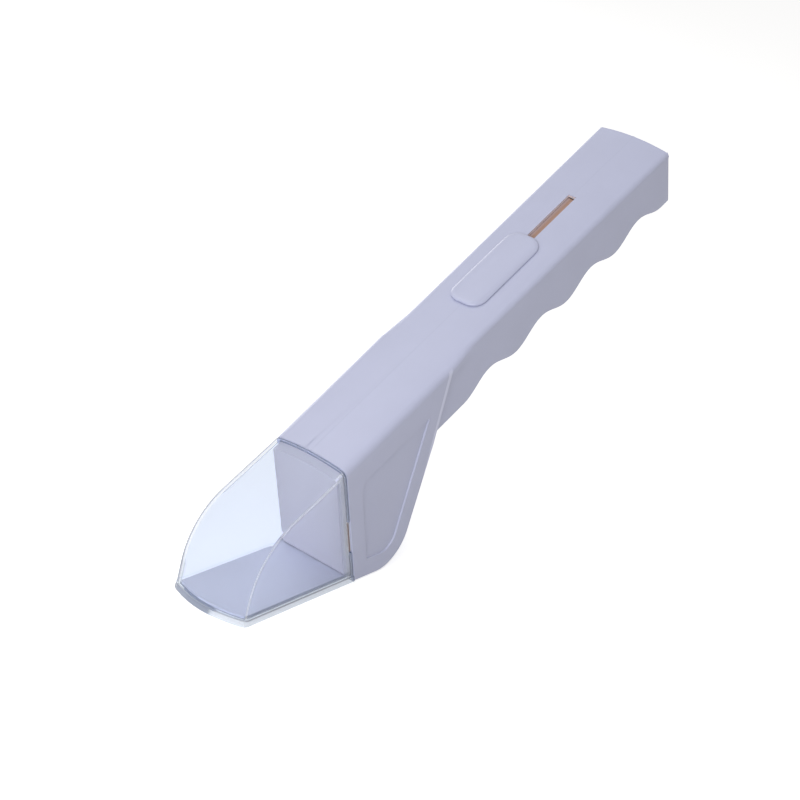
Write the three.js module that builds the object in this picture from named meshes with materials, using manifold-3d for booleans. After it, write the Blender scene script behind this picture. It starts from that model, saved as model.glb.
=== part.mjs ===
// Hand-held bug catcher: a clear viewing chamber with a sliding trap door, on a two-shell handle.
// Millimetres. +X points to the chamber's tip, +Y to the catcher's left, +Z up. The base lies on z = 0.
// Handle sizes run along it (f, forward) and square to it (u, up) from the front wall's top edge.
import * as THREE from 'three';
import { mergeVertices } from 'three/addons/utils/BufferGeometryUtils.js';
import Module from 'manifold-3d';

const wasm = await Module();
wasm.setup();

// Head
const headWidth = 26.6;
const wallTopX = 18.2; // top edge of the leaning front wall, measured from the wall's foot
const wallTopZ = 40.6;
const headFlare = 0.4; // how much further out each side stands at the crease
const creaseX = -25.5; // where the head steps down to the narrower handle
const heelX = -22; // where the back face would meet the base without the round heel
const heelRadius = 12;
const crown = 1.4; // rise of the rounded top between its two edges
const headEdgeRadius = 2.4; // rounding between the head's top and sides, at the front wall
const creaseEdgeRadius = 1.8; // the same rounding at the crease
const panelInset = 6.3; // sunk panel on each side of the head, measured in from the outline
const panelTopDepth = 10.4;
const panelSink = 0.5;
const panelCornerRadius = 3.5;

// Handle
const handleAngle = THREE.MathUtils.degToRad(29.5);
const handleLength = 167.5;
const handleDepth = 20.1;
const handleFrontWidth = 24.6;
const handleRearWidth = 27;
const handleEdgeRadius = 1.6;
const handleStep = 0.05; // how far the handle's top lies below the head's
const fairingLength = 12; // the head's top edges run out along the handle
const fairingDepth = 3;
const gripStart = 54.6;
const gripPitch = 27.1;
const gripRearMargin = 4; // least plain length behind the last finger groove
const gripDepth = 4.2;

// Shells
const sideWall = 1.2;
const skin = 1.5; // top, bottom, back and rear walls
const seamGap = 0.2;
const fit = 0.3; // clearance between pieces that seat on or slide past each other

// Viewing chamber
const chamberLength = 51.2; // wall's foot to the tip's side corners
const noseRadius = 23.4;
const noseBulge = 3.5; // how far the middle of the tip stands ahead of its corners
const tipEdgeRadius = 0.9; // the roof's rounded edges grow sharper towards the tip
const chamberWall = 1.2;
const rimHeight = 2; // foot rim round the chamber
const rimProud = 0.3;
const lipWidth = 1.4; // ledge under the door's edges
const notchStart = 12.2; // notch in each wall's rear edge, measured up along the front wall
const notchLength = 12.7;
const notchDepth = 1.2;
const lugSink = 0.5; // the shells' lugs in these notches lie below the outer face
const lugThickness = 0.6;

// Front bulkhead
const bulkheadThickness = 1.6;
const bulkheadSetback = 0.6;
const bulkheadTongue = 0.6; // how deep the bulkhead's flange sits in its groove
const bulkheadReach = 3.2; // how far its face stands ahead of the front wall, inside the chamber

// Door and strip
const travel = 34;
const doorThickness = 0.8;
const doorParkedX = -12; // rear edge of the door panel when the door is open
const stripThickness = 0.4;
const stripFoot = -0.8; // rear end of the strip's floor stretch
const stripWidth = 20.4;
const stripBendRadius = 10;
const stripBendZ = 49.5; // height at which the strip starts to bend into the handle
const stripTail = 100; // how far along the handle the guided strip reaches
const stripEndLength = 4;

// Thumb button, its slot and the carriage under it
const buttonMiddle = 89.5;
const buttonLength = 34.5;
const buttonWidth = 12.4;
const buttonCorner = 4.2;
const buttonHeight = 1.1; // above the handle's rounded top, along its middle
const buttonBevel = 0.4;
const buttonGap = 0.15;
const stemLength = 16;
const stemWidth = 2.2;
const plateFront = 21; // how far the plate runs ahead of the button's middle
const plateWidth = 16;
const plateThickness = 1.6;
const plateDepth = 1.1; // top of the plate below the handle's top edge line
const bandWidth = 8; // raised band on the plate, which closes the slot from below
const slotSkin = 0.9; // the handle's top is thinner over the band
const ribThickness = 1.6;
const ribSpacing = 10;
const ribLength = 30;
const tongueLength = 50;
const tongueThickness = 1.2;
const stemFootHeight = 0.9;
const stemFootOverhang = 0.5;
const railWidth = 5;
const railHeight = 1.4;
const rivetRadius = 0.9;
const rivetHeadRadius = 1.7;
const rivetHeadHeight = 0.5;
const rivetSpacing = 16;

// Screws that close the shells, driven from the right side
const screwRadius = 1.2;
const screwHeadRadius = 2.4;
const screwHeadHeight = 1.6;
const screwSink = 4;
const screwTipY = 6;
const bossRadius = 3.5;
const headScrewX = -8;
const headScrewLowZ = 17;
const headScrewHighZ = 41;

const headHalf = headWidth / 2;
const gripCount = Math.floor((handleLength - gripStart - gripRearMargin) / gripPitch);
const cutMargin = 5; // how far cutting bodies run past what they cut
const curveSegments = 10;
const waveSteps = 16;
const edgeSteps = 4;
const middleSteps = 8;
const roundSides = 16;

// Directions along the handle and along the front wall
const across = new THREE.Vector3(0, 1, 0);
const forward = new THREE.Vector3(Math.cos(handleAngle), 0, -Math.sin(handleAngle));
const upward = new THREE.Vector3(Math.sin(handleAngle), 0, Math.cos(handleAngle));
const wallLine = new THREE.Vector3(wallTopX, 0, wallTopZ).normalize();
const wallAhead = new THREE.Vector3(wallLine.z, 0, -wallLine.x);
const handleFrame = new THREE.Matrix4().makeBasis(across, upward, forward);
handleFrame.setPosition(wallTopX, 0, wallTopZ);

function handlePoint(f, u) {
  const x = wallTopX + f * forward.x + u * upward.x;
  const z = wallTopZ + f * forward.z + u * upward.z;
  return new THREE.Vector2(x, z);
}

function wallPoint(along, ahead) {
  const x = along * wallLine.x + ahead * wallAhead.x;
  const z = along * wallLine.z + ahead * wallAhead.z;
  return new THREE.Vector2(x, z);
}

// A rectangle along the front wall, from one height and depth to another
function wallRectangle(bottom, top, rear, front) {
  const corners = [[bottom, rear], [bottom, front], [top, front], [top, rear]];
  return new THREE.Shape(corners.map(([along, ahead]) => wallPoint(along, ahead)));
}

// Share of the way from just behind the front wall back to the crease
function headShare(f) {
  return Math.max((f + cutMargin) / (creaseTopF + cutMargin), 0);
}

function headHalfWidth(f) {
  return headHalf + headFlare * headShare(f);
}

function handleHalfWidth(f) {
  const share = THREE.MathUtils.mapLinear(f, creaseF, -handleLength, 0, 1);
  return THREE.MathUtils.lerp(handleFrontWidth, handleRearWidth, share) / 2;
}

// The crease's foot lies on the handle's underside, and its head on the top edge line
const creaseTopF = (creaseX - wallTopX) / forward.x;
const creaseF = (creaseX - wallTopX + handleDepth * upward.x) / forward.x;
const creaseZ = handlePoint(creaseF, -handleDepth).y;

// The leaning back face, and the centre of the round heel that touches it and the base
const backLine = new THREE.Vector2(creaseX - heelX, creaseZ).normalize();
const backInward = new THREE.Vector2(backLine.y, -backLine.x);
const heelRise = (heelRadius * (1 - backInward.y)) / backLine.y;
const heelCentre = new THREE.Vector2(heelX + backLine.x * heelRise + backInward.x * heelRadius, heelRadius);
const backTurn = Math.atan2(backInward.y, backInward.x);
const heelStartAngle = -Math.PI / 2;
const heelEndAngle = backTurn - Math.PI;

// Heights of the door inside the base
const doorBottom = skin + fit;
const doorTop = doorBottom + doorThickness;
const stripMiddleZ = doorBottom + doorThickness / 2;
const doorHalf = headHalf - Math.max(chamberWall, sideWall) - fit;
const doorRear = doorParkedX + travel;

function solidOf(geometry) {
  const bare = new THREE.BufferGeometry();
  bare.setAttribute('position', geometry.attributes.position);
  bare.setIndex(geometry.index);
  const merged = mergeVertices(bare, 1e-4);
  const vertProperties = Float32Array.from(merged.attributes.position.array);
  const triVerts = Uint32Array.from(merged.index.array);
  return new wasm.Manifold(new wasm.Mesh({ numProp: 3, vertProperties, triVerts }));
}

function geometryOf(solid) {
  const { vertProperties, triVerts } = solid.getMesh();
  const geometry = new THREE.BufferGeometry();
  geometry.setAttribute('position', new THREE.BufferAttribute(vertProperties, 3));
  geometry.setIndex(new THREE.BufferAttribute(triVerts, 1));
  geometry.computeVertexNormals();
  return geometry;
}

function extrude(shape, depth) {
  return new THREE.ExtrudeGeometry(shape, { depth, bevelEnabled: false, curveSegments });
}

// A side outline in (x, z), carried across the width from one y to another
function sidePrism(shape, fromY, toY) {
  const geometry = extrude(shape, toY - fromY);
  geometry.rotateX(Math.PI / 2);
  geometry.translate(0, toY, 0);
  return solidOf(geometry);
}

// Closed sections of equally many points, joined into one solid; a flat outline serves for both ends
function loft(sections, outline) {
  const count = outline.length;
  const triangles = [];
  for (let slice = 0; slice + 1 < sections.length; slice += 1) {
    for (let index = 0; index < count; index += 1) {
      const next = (index + 1) % count;
      const here = slice * count;
      const there = here + count;
      triangles.push(here + index, here + next, there + index, here + next, there + next, there + index);
    }
  }
  const last = (sections.length - 1) * count;
  for (const [a, b, c] of THREE.ShapeUtils.triangulateShape(outline, [])) {
    triangles.push(a, c, b, last + a, last + b, last + c);
  }
  const geometry = new THREE.BufferGeometry();
  geometry.setAttribute('position', new THREE.Float32BufferAttribute(sections.flat(2), 3));
  geometry.setIndex(triangles);
  return solidOf(geometry);
}

// Sections in (y, u) at places along the handle, joined from rear to front
function handleLoft(stations) {
  const outlines = stations.map(({ section }) => section.getPoints(curveSegments));
  const sections = stations.map(({ f }, index) =>
    outlines[index].map(({ x, y }) => new THREE.Vector3(x, y, f).applyMatrix4(handleFrame).toArray()),
  );
  return loft(sections, outlines[0]);
}

// A section in (y, u), carried along the handle
function handlePrism(shape, fromF, toF) {
  const geometry = extrude(shape, toF - fromF);
  geometry.translate(0, 0, fromF);
  geometry.applyMatrix4(handleFrame);
  return solidOf(geometry);
}

function handleBox(fromF, toF, fromY, toY, fromU, toU) {
  const geometry = new THREE.BoxGeometry(toY - fromY, toU - fromU, toF - fromF);
  geometry.translate((fromY + toY) / 2, (fromU + toU) / 2, (fromF + toF) / 2);
  geometry.applyMatrix4(handleFrame);
  return solidOf(geometry);
}

// A flat outline in (x, y), raised from one z to another
function floorPrism(shape, fromZ, toZ) {
  const geometry = extrude(shape, toZ - fromZ);
  geometry.translate(0, 0, fromZ);
  return solidOf(geometry);
}

function crossCylinder(radius, fromY, toY, place) {
  const geometry = new THREE.CylinderGeometry(radius, radius, toY - fromY, roundSides);
  geometry.translate(place.x, (fromY + toY) / 2, place.y);
  return solidOf(geometry);
}

// Share of the crown that is left at some distance from the middle
function swell(y) {
  return 1 - (y / headHalf) ** 2;
}

// Section of the head or handle: straight sides under a parabolic crown with rounded edges
function crownedSection(edge, topInset, edgeRadius) {
  const depth = handleLength;
  const crownAt = (y) => crown * swell(y) - topInset;
  const radius = Math.max(edgeRadius - topInset, fit);
  const shoulder = edge - radius;
  const shape = new THREE.Shape();
  shape.moveTo(-edge, -depth);
  shape.lineTo(edge, -depth);
  shape.lineTo(edge, crownAt(edge) - radius);
  shape.quadraticCurveTo(edge, crownAt(edge), shoulder, crownAt(shoulder));
  const apex = 2 * crownAt(0) - crownAt(shoulder);
  shape.quadraticCurveTo(0, apex, -shoulder, crownAt(shoulder));
  shape.quadraticCurveTo(-edge, crownAt(edge), -edge, crownAt(edge) - radius);
  return shape;
}

// Side outline of the head; its front edge may run ahead of the wall, and its top is cut by the section
function headOutline(inset, ahead) {
  const top = crown + cutMargin;
  const backTangent = heelCentre.clone().addScaledVector(backInward, inset - heelRadius);
  const backTop = new THREE.Vector2(creaseX, creaseZ).addScaledVector(backInward, inset);
  const footAlong = (inset - ahead * wallAhead.z) / wallLine.z;
  const foot = wallPoint(footAlong, ahead);
  const topFront = wallPoint(Math.hypot(wallTopX, wallTopZ) + top, ahead);
  const topBack = handlePoint((backTop.x - wallTopX - top * upward.x) / forward.x, top);
  const shape = new THREE.Shape();
  shape.moveTo(foot.x, foot.y);
  shape.lineTo(heelCentre.x, inset);
  shape.absarc(heelCentre.x, heelCentre.y, heelRadius - inset, heelStartAngle, heelEndAngle, true);
  shape.lineTo(backTangent.x, backTangent.y);
  shape.lineTo(backTop.x, backTop.y);
  shape.lineTo(topBack.x, topBack.y);
  shape.lineTo(topFront.x, topFront.y);
  return shape;
}

// Depth of the handle's underside, with its row of finger grooves
function gripProfile(f) {
  const phase = (-f - gripStart) / gripPitch;
  const inGrip = phase > 0 && phase < gripCount;
  const dip = inGrip ? (1 - Math.cos(2 * Math.PI * phase)) / 2 : 0;
  return handleDepth - gripDepth * dip;
}

function handleOutline(inset) {
  const top = crown + cutMargin;
  const rear = -handleLength + inset;
  const front = creaseX + inset + cutMargin;
  const frontAt = (u) => handlePoint((front - wallTopX - u * upward.x) / forward.x, u);
  const points = [frontAt(top), frontAt(inset - handleDepth)];
  const steps = waveSteps * gripCount;
  for (let step = 0; step <= steps; step += 1) {
    const f = -gripStart - (gripPitch * gripCount * step) / steps;
    points.push(handlePoint(f, inset - gripProfile(f)));
  }
  points.push(handlePoint(rear, inset - handleDepth));
  points.push(handlePoint(rear, top));
  return new THREE.Shape(points);
}

// The handle widens towards its rear end
function taperedHandle(sideInset, topInset) {
  const stations = [-handleLength - cutMargin, 0].map((f) => {
    const edge = handleHalfWidth(f) - sideInset;
    return { f, section: crownedSection(edge, topInset + handleStep, handleEdgeRadius) };
  });
  return handleLoft(stations);
}

// The head's sides spread a little, and its top edges grow sharper, from the front wall to the crease
function taperedHead(sideInset, topInset) {
  const stations = [creaseTopF - cutMargin, -cutMargin, handleLength].map((f) => {
    const radius = THREE.MathUtils.lerp(headEdgeRadius, creaseEdgeRadius, headShare(f));
    return { f, section: crownedSection(headHalfWidth(f) - sideInset, topInset, radius) };
  });
  return handleLoft(stations);
}

function body(sideInset, inset, ahead) {
  const head = sidePrism(headOutline(inset, ahead), -headWidth, headWidth);
  const handle = sidePrism(handleOutline(inset), -headWidth, headWidth);
  const headSolid = head.intersect(taperedHead(sideInset, inset));
  const handleSolid = handle.intersect(taperedHandle(sideInset, inset));
  return headSolid.add(handleSolid);
}

// The head's top edges run out along the handle, a little below its own top
function fairing() {
  const rearF = creaseTopF - fairingLength;
  const topInset = 2 * handleStep;
  const rearEdge = handleHalfWidth(rearF) - handleStep;
  const creaseEdge = headHalfWidth(creaseTopF) - 2 * handleStep;
  const frontEdge = handleFrontWidth / 2;
  const stations = [
    { f: rearF, section: crownedSection(rearEdge, topInset, handleEdgeRadius) },
    { f: creaseTopF, section: crownedSection(creaseEdge, topInset, creaseEdgeRadius) },
    { f: creaseTopF + cutMargin, section: crownedSection(frontEdge, topInset, creaseEdgeRadius) },
  ];
  const above = handleBox(-handleLength, 0, -headWidth, headWidth, -fairingDepth, crown + cutMargin);
  return handleLoft(stations).intersect(above);
}

// Sunk panel: follows the head's outline at a fixed distance, with its top along the handle
function panelOutline() {
  const radius = heelRadius - panelInset;
  const backTangent = heelCentre.clone().addScaledVector(backInward, -radius);
  const backFoot = new THREE.Vector2(creaseX, creaseZ).addScaledVector(backInward, panelInset);
  const topBackF = (backFoot.x - wallTopX + panelTopDepth * upward.x) / forward.x;
  const topBack = handlePoint(topBackF, -panelTopDepth);
  const foot = wallPoint((panelInset + panelInset * wallAhead.z) / wallLine.z, -panelInset);
  const wallSlant = Math.atan2(wallAhead.x * forward.z - wallAhead.z * forward.x, wallAhead.dot(forward));
  const frontF = (-panelInset - panelTopDepth * Math.sin(wallSlant)) / Math.cos(wallSlant);
  const corner = handlePoint(frontF, -panelTopDepth);
  const downWall = new THREE.Vector2(-wallLine.x, -wallLine.z);
  const beforeCorner = corner.clone().addScaledVector(downWall, panelCornerRadius);
  const afterCorner = handlePoint(frontF - panelCornerRadius, -panelTopDepth);
  const shape = new THREE.Shape();
  shape.moveTo(foot.x, foot.y);
  shape.lineTo(heelCentre.x, panelInset);
  shape.absarc(heelCentre.x, heelCentre.y, radius, heelStartAngle, heelEndAngle, true);
  shape.lineTo(backTangent.x, backTangent.y);
  shape.lineTo(topBack.x, topBack.y);
  shape.lineTo(afterCorner.x, afterCorner.y);
  shape.quadraticCurveTo(corner.x, corner.y, beforeCorner.x, beforeCorner.y);
  return shape;
}

// Screw places, each with the half width of the body there
const ridgeScrewU = skin + bossRadius - handleDepth;
const ridgeScrewF = [-gripStart, -gripStart - (gripCount - 1) * gripPitch];
const screwPlaces = [
  { place: new THREE.Vector2(headScrewX, headScrewLowZ), half: headHalf },
  { place: new THREE.Vector2(headScrewX, headScrewHighZ), half: headHalf },
  ...ridgeScrewF.map((f) => ({ place: handlePoint(f, ridgeScrewU), half: handleHalfWidth(f) })),
];

// Slot for the button's stem, long enough for the whole travel
const slotFront = -buttonMiddle + stemLength / 2 + fit;
const slotRear = -buttonMiddle - stemLength / 2 - travel - fit;
const plateTop = -plateDepth;
const plateBottom = plateTop - plateThickness;
const bandTop = crown * swell(bandWidth / 2 + fit) - handleStep - slotSkin - fit;
const carriageFront = -buttonMiddle + plateFront;
const carriageRear = travel + fit + skin - handleLength; // closes the slot, and parks at the rear wall

// A block along the front wall, kept in from the head's outline and above some height
function bulkheadBlock(rear, front, sideInset, topInset, floorZ) {
  const top = Math.hypot(wallTopX, wallTopZ) + cutMargin;
  const block = sidePrism(wallRectangle(-cutMargin, top, rear, front), -headHalf, headHalf);
  const section = crownedSection(headHalf - sideInset, topInset, headEdgeRadius);
  const inside = handlePrism(section, -headWidth, headWidth);
  return block.intersect(inside).intersect(levelSlab(floorZ, handleLength));
}

// The bulkhead's flange, or with a clearance the groove that holds it
function bulkheadFlange(clearance) {
  const front = -bulkheadSetback + clearance;
  const rear = -bulkheadSetback - bulkheadThickness - clearance;
  const sideInset = sideWall - bulkheadTongue - clearance + fit;
  const topInset = skin - bulkheadTongue - clearance + fit;
  return bulkheadBlock(rear, front, sideInset, topInset, doorTop + fit - clearance);
}

// A flange in the shells' groove, and a hollow tray that plugs the chamber's rear end
function frontBulkhead() {
  const rear = -bulkheadSetback - bulkheadThickness;
  const sideInset = Math.max(sideWall, chamberWall) + fit;
  const topInset = Math.max(skin, chamberWall) + fit;
  const floorZ = doorTop + fit;
  const tray = bulkheadBlock(rear, bulkheadReach, sideInset, topInset, floorZ);
  const wall = bulkheadThickness;
  const hollow = bulkheadBlock(
    rear - cutMargin,
    bulkheadReach - wall,
    sideInset + wall,
    topInset + wall,
    floorZ + wall,
  );
  return bulkheadFlange(0).add(tray).subtract(hollow);
}

// A lug on the front edge of each side wall, which keys the chamber in place
function chamberLug(side) {
  const low = notchStart + fit;
  const high = notchStart + notchLength - fit;
  const outline = wallRectangle(low, high, -bulkheadSetback, notchDepth);
  const outer = side * (headHalf - lugSink);
  const inner = outer - side * lugThickness;
  return sidePrism(outline, Math.min(inner, outer), Math.max(inner, outer));
}

function wholeShell() {
  const panels = sidePrism(panelOutline(), -headWidth, headWidth).subtract(taperedHead(panelSink, 0));
  const outside = body(0, 0, 0).subtract(panels).add(fairing());
  let shell = outside.subtract(body(sideWall, skin, cutMargin));
  const railFront = carriageFront + fit;
  const railRear = skin / 2 - handleLength; // ends inside the rear wall
  const railTop = plateBottom - fit;
  for (const side of [-1, 1]) {
    const wallSide = handleFrontWidth / 2 - sideWall / 2;
    const near = Math.min(side * (wallSide - railWidth), side * wallSide);
    const rail = handleBox(railRear, railFront, near, near + railWidth, railTop - railHeight, railTop);
    shell = shell.add(rail);
  }
  for (const { place, half } of screwPlaces) {
    const seat = half - sideWall / 2;
    shell = shell.add(crossCylinder(bossRadius, -seat, seat, place));
    const start = -half - cutMargin;
    shell = shell.subtract(crossCylinder(screwRadius + fit, start, screwTipY + fit, place));
    shell = shell.subtract(crossCylinder(screwHeadRadius + fit, start, -half + screwSink, place));
  }
  const slotHalf = stemWidth / 2 + fit;
  const slot = handleBox(slotRear, slotFront, -slotHalf, slotHalf, -skin - crown, crown + cutMargin);
  const channelHalf = bandWidth / 2 + fit;
  const channelRear = skin - handleLength;
  const channelFront = carriageFront + fit;
  const channel = handleBox(channelRear, channelFront, -channelHalf, channelHalf, -skin, bandTop + fit);
  shell = shell.subtract(slot).subtract(channel);
  for (const side of [-1, 1]) {
    shell = shell.add(chamberLug(side));
  }
  return shell.subtract(bulkheadFlange(fit));
}

// Keeps one side of the seam
function shellHalf(shell, side) {
  const reach = handleLength * 2;
  const geometry = new THREE.BoxGeometry(reach, reach, reach);
  geometry.translate(0, (side * (reach + seamGap)) / 2, 0);
  return shell.intersect(solidOf(geometry));
}

// Stations along the chamber's roof, nose and tip: place, facing direction and share of the way
function chamberStations(footZ) {
  const centreX = chamberLength - noseRadius;
  const roofU = wallTopX * upward.x + wallTopZ * upward.z;
  const centreZ = (roofU - noseRadius - centreX * upward.x) / upward.z;
  const startAngle = Math.PI / 2 - handleAngle;
  const roofLength = (centreX + noseRadius * upward.x - wallTopX) / forward.x;
  const noseLength = noseRadius * startAngle;
  const total = roofLength + noseLength + centreZ;
  const normal = new THREE.Vector2(upward.x, upward.z);
  const stations = [-cutMargin, 0].map((f) => ({ place: handlePoint(f, 0), normal, share: 0 }));
  for (let step = 0; step <= waveSteps; step += 1) {
    const angle = (startAngle * (waveSteps - step)) / waveSteps;
    const outward = new THREE.Vector2(Math.cos(angle), Math.sin(angle));
    const place = new THREE.Vector2(centreX, centreZ).addScaledVector(outward, noseRadius);
    const share = (roofLength + (noseLength * step) / waveSteps) / total;
    stations.push({ place, normal: outward, share });
  }
  const foot = new THREE.Vector2(chamberLength, footZ);
  stations.push({ place: foot, normal: new THREE.Vector2(1, 0), share: 1 });
  return stations;
}

// How far a rounded edge falls below the surface, at some distance in from the side
function edgeDrop(distance, radius) {
  return distance < radius ? radius * (1 - Math.sqrt(distance / radius)) ** 2 : 0;
}

function chamberSection(y, inset, footZ) {
  const fromSide = Math.max(headHalf - inset - Math.abs(y), 0);
  const points = chamberStations(footZ).map(({ place, normal, share }) => {
    const outerRadius = THREE.MathUtils.lerp(headEdgeRadius, tipEdgeRadius, Math.cbrt(share));
    const radius = Math.max(outerRadius - inset, fit);
    const rise = THREE.MathUtils.lerp(crown, noseBulge, share) * swell(y) - inset;
    return place.clone().addScaledVector(normal, rise - edgeDrop(fromSide, radius));
  });
  points.push(new THREE.Vector2(-cutMargin, footZ));
  return points;
}

// Places across the width, closer together on the rounded edges
function chamberPlaces(half) {
  const flat = half - headEdgeRadius;
  const places = [];
  for (let step = 0; step < edgeSteps; step += 1) {
    places.push(half - headEdgeRadius * (step / edgeSteps) ** 2);
  }
  for (let step = 0; step < middleSteps / 2; step += 1) {
    places.push(flat * (1 - (2 * step) / middleSteps));
  }
  return [...places.map((y) => -y), 0, ...places.reverse()];
}

// The chamber's body lofted across its width, so that roof and nose are rounded both ways
function chamberLoft(inset, footZ) {
  const places = chamberPlaces(headHalf - inset);
  const outlines = places.map((y) => chamberSection(y, inset, footZ));
  const sections = outlines.map((outline, slice) => outline.map(({ x, y }) => [x, places[slice], y]));
  return loft(sections, outlines[0].map(({ x, y }) => new THREE.Vector2(y, x)));
}

function levelSlab(fromZ, toZ) {
  const reach = handleLength;
  const geometry = new THREE.BoxGeometry(2 * reach, 2 * reach, toZ - fromZ);
  geometry.translate(0, 0, (fromZ + toZ) / 2);
  return solidOf(geometry);
}

function viewingChamber() {
  const ledge = doorBottom - fit;
  const wallTop = Math.hypot(wallTopX, wallTopZ) + 2 * cutMargin;
  const room = chamberLoft(chamberWall, ledge);
  const below = levelSlab(-cutMargin, ledge + fit);
  const mouth = chamberLoft(chamberWall + lipWidth, -cutMargin).intersect(below);
  const rim = chamberLoft(-rimProud, 0).intersect(levelSlab(-cutMargin, rimHeight));
  let chamber = chamberLoft(0, 0).add(rim).subtract(room).subtract(mouth);
  const behind = wallRectangle(-cutMargin, wallTop, -headWidth, fit);
  chamber = chamber.subtract(sidePrism(behind, -headWidth, headWidth));
  const notch = wallRectangle(notchStart, notchStart + notchLength, -headWidth, notchDepth + fit);
  return chamber.subtract(sidePrism(notch, -headWidth, headWidth));
}

// The trap door's panel, whose front edge follows the chamber's bulging tip
function doorPanel() {
  const points = [new THREE.Vector2(doorRear, doorHalf), new THREE.Vector2(doorRear, -doorHalf)];
  for (let step = 0; step <= waveSteps; step += 1) {
    const y = doorHalf * ((2 * step) / waveSteps - 1);
    points.push(new THREE.Vector2(chamberLength - chamberWall - fit + noseBulge * swell(y), y));
  }
  return floorPrism(new THREE.Shape(points), doorBottom, doorTop);
}

// The flexible strip behind the panel, where it lies flat on the chamber's floor
function stripFloor() {
  const front = doorRear - fit;
  const geometry = new THREE.BoxGeometry(front - stripFoot, 2 * doorHalf - 2 * fit, stripThickness);
  geometry.translate((front + stripFoot) / 2, 0, stripMiddleZ);
  return solidOf(geometry);
}

// The same strip where it runs round the heel, up the back and into the handle
const stripRadius = heelRadius - skin - fit - stripThickness / 2;
const stripBackFoot = heelCentre.clone().addScaledVector(backInward, -stripRadius);
const stripClimb = (stripBendZ - stripBackFoot.y) / backLine.y;
const stripBendFoot = stripBackFoot.clone().addScaledVector(backLine, stripClimb);
const stripBendCentre = stripBendFoot.clone().addScaledVector(backInward, -stripBendRadius);
const stripBendU = (stripBendCentre.x - wallTopX) * upward.x + (stripBendCentre.y - wallTopZ) * upward.z;
const stripU = stripBendU + stripBendRadius;

function stripGuided() {
  const half = stripThickness / 2;
  const startAngle = heelStartAngle - Math.asin((heelCentre.x - doorParkedX + 2 * fit) / stripRadius);
  const shape = new THREE.Shape();
  const bendEnd = Math.PI / 2 - handleAngle;
  const tailOuter = handlePoint(-stripTail, stripU + half);
  const tailInner = handlePoint(-stripTail, stripU - half);
  shape.absarc(heelCentre.x, heelCentre.y, stripRadius - half, startAngle, heelEndAngle, true);
  shape.absarc(stripBendCentre.x, stripBendCentre.y, stripBendRadius + half, backTurn, bendEnd, false);
  shape.lineTo(tailOuter.x, tailOuter.y);
  shape.lineTo(tailInner.x, tailInner.y);
  shape.absarc(stripBendCentre.x, stripBendCentre.y, stripBendRadius - half, bendEnd, backTurn, true);
  shape.absarc(heelCentre.x, heelCentre.y, stripRadius + half, heelEndAngle, startAngle, false);
  return sidePrism(shape, -stripWidth / 2, stripWidth / 2);
}

// The strip's end, which moves with the carriage and is riveted under its tongue
const tongueBottom = stripU + stripThickness / 2 + fit;
const tongueTop = tongueBottom + tongueThickness;
const stripEndFront = -stripTail - fit;

function stripEnd() {
  const rear = stripEndFront - stripEndLength;
  const half = stripWidth / 2;
  const bottom = stripU - stripThickness / 2;
  let end = handleBox(rear, stripEndFront, -half, half, bottom, bottom + stripThickness);
  for (const side of [-1, 1]) {
    end = end.subtract(rivetHole(side));
  }
  return end;
}

function rivetAxis(geometry, side) {
  geometry.translate((side * rivetSpacing) / 2, 0, stripEndFront - stripEndLength / 2);
  geometry.applyMatrix4(handleFrame);
  return solidOf(geometry);
}

function rivetHole(side) {
  const height = 2 * cutMargin;
  const geometry = new THREE.CylinderGeometry(rivetRadius + fit, rivetRadius + fit, height, roundSides);
  geometry.translate(0, stripU, 0);
  return rivetAxis(geometry, side);
}

function rivet(side) {
  const low = stripU - stripThickness / 2 - fit;
  const high = tongueTop + fit;
  const profile = [
    [0, low - rivetHeadHeight],
    [rivetHeadRadius, low - rivetHeadHeight],
    [rivetHeadRadius, low],
    [rivetRadius, low],
    [rivetRadius, high],
    [rivetHeadRadius, high],
    [rivetHeadRadius, high + rivetHeadHeight],
    [0, high + rivetHeadHeight],
  ].map(([radius, u]) => new THREE.Vector2(radius, u));
  return rivetAxis(new THREE.LatheGeometry(profile, roundSides), side);
}

// Carriage: a plate on the shells' rails, a band under the slot, two ribs, and a tongue for the strip's end
function sliderCarriage() {
  const half = plateWidth / 2;
  const tongueRear = stripEndFront - stripEndLength;
  const bandHalf = bandWidth / 2;
  const plate = handleBox(carriageRear, carriageFront, -half, half, plateBottom, plateTop);
  const band = handleBox(carriageRear, carriageFront, -bandHalf, bandHalf, plateBottom, bandTop);
  let carriage = plate.add(band);
  for (const side of [-1, 1]) {
    const near = (side * ribSpacing - ribThickness) / 2;
    const ribRear = -buttonMiddle - ribLength / 2;
    const ribFront = -buttonMiddle + ribLength / 2;
    const rib = handleBox(ribRear, ribFront, near, near + ribThickness, tongueBottom, plateTop);
    carriage = carriage.add(rib);
  }
  const tongueHalf = stripWidth / 2;
  const tongueFront = tongueRear + tongueLength;
  const tongue = handleBox(tongueRear, tongueFront, -tongueHalf, tongueHalf, tongueBottom, tongueTop);
  carriage = carriage.add(tongue);
  for (const side of [-1, 1]) {
    carriage = carriage.subtract(rivetHole(side));
  }
  const socketLength = stemLength / 2 + fit;
  const socketHalf = stemWidth / 2 + fit;
  const socket = handleBox(
    -buttonMiddle - socketLength,
    -buttonMiddle + socketLength,
    -socketHalf,
    socketHalf,
    plateBottom - fit,
    bandTop + fit,
  );
  return carriage.subtract(socket);
}

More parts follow.
